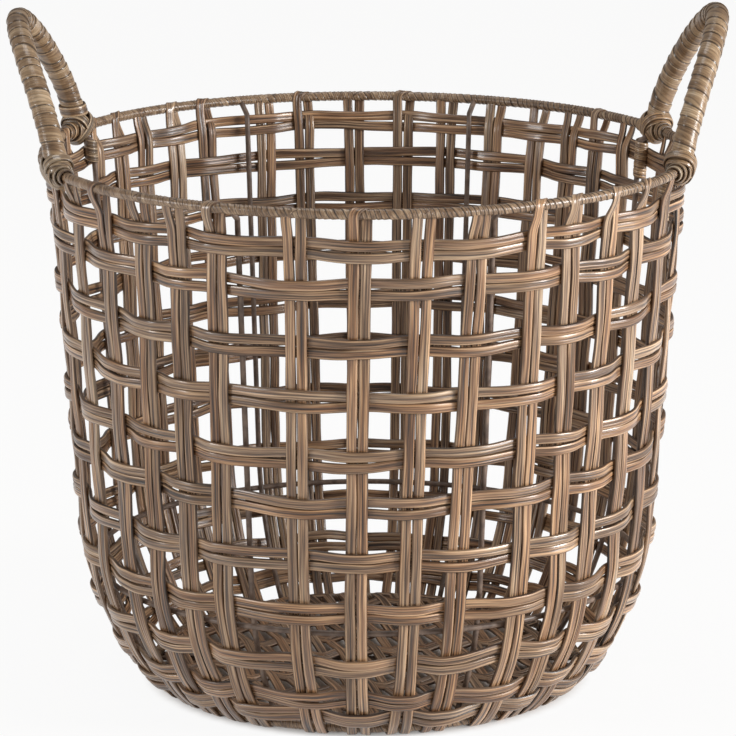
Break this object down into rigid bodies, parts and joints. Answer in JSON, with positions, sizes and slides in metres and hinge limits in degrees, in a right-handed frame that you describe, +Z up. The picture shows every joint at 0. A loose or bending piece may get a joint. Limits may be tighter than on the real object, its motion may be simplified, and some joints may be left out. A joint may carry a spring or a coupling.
{
  "type": "plastic wicker storage basket",
  "caption": "Round open-weave storage basket of plastic wicker over a wire frame, with a bound rim, a rounded bottom edge and upright wrapped handles that stay fixed.",
  "frame": {"origin": "on the floor under the middle of the basket", "axes": "+Z up, -Y the pictured front, the handles stand at -X and +X"},
  "size_m": [0.4482, 0.4106, 0.4265],
  "materials": {
    "wire": "brown coated steel wire",
    "binding_strip": "satin strip",
    "handle_strip": "satin ribbed strip",
    "stake_strand": "satin streaked strand",
    "weaver_strand": "satin streaked strand",
    "base_strand": "satin streaked strand"
  },
  "bodies": {
    "root": {"wire_frame": "wire", "rim_binding": "binding_strip", "base_binding": "binding_strip", "handle_wrap_left": "handle_strip", "lashing_left_a": "handle_strip", "lashing_left_b": "handle_strip", "handle_wrap_right": "handle_strip", "lashing_right_a": "handle_strip", "lashing_right_b": "handle_strip", "stake_01": "stake_strand", "stake_02": "stake_strand", "stake_03": "stake_strand", "stake_04": "stake_strand", "stake_05": "stake_strand", "stake_06": "stake_strand", "stake_07": "stake_strand", "stake_08": "stake_strand", "stake_09": "stake_strand", "stake_10": "stake_strand", "stake_11": "stake_strand", "stake_12": "stake_strand", "stake_13": "stake_strand", "stake_14": "stake_strand", "stake_15": "stake_strand", "stake_16": "stake_strand", "stake_17": "stake_strand", "stake_18": "stake_strand", "stake_19": "stake_strand", "stake_20": "stake_strand", "stake_21": "stake_strand", "stake_22": "stake_strand", "stake_23": "stake_strand", "stake_24": "stake_strand", "stake_25": "stake_strand", "stake_26": "stake_strand", "stake_27": "stake_strand", "stake_28": "stake_strand", "stake_29": "stake_strand", "stake_30": "stake_strand", "stake_31": "stake_strand", "stake_32": "stake_strand", "stake_33": "stake_strand", "stake_34": "stake_strand", "stake_35": "stake_strand", "stake_36": "stake_strand", "stake_37": "stake_strand", "stake_38": "stake_strand", "weaver_row_01": "weaver_strand", "weaver_row_02": "weaver_strand", "weaver_row_03": "weaver_strand", "weaver_row_04": "weaver_strand", "weaver_row_05": "weaver_strand", "weaver_row_06": "weaver_strand", "weaver_row_07": "weaver_strand", "weaver_row_08": "weaver_strand", "weaver_row_09": "weaver_strand", "weaver_row_10": "weaver_strand", "weaver_row_11": "weaver_strand", "base_mat_warp": "base_strand", "base_mat_weft": "base_strand"}
  },
  "joints": []
}
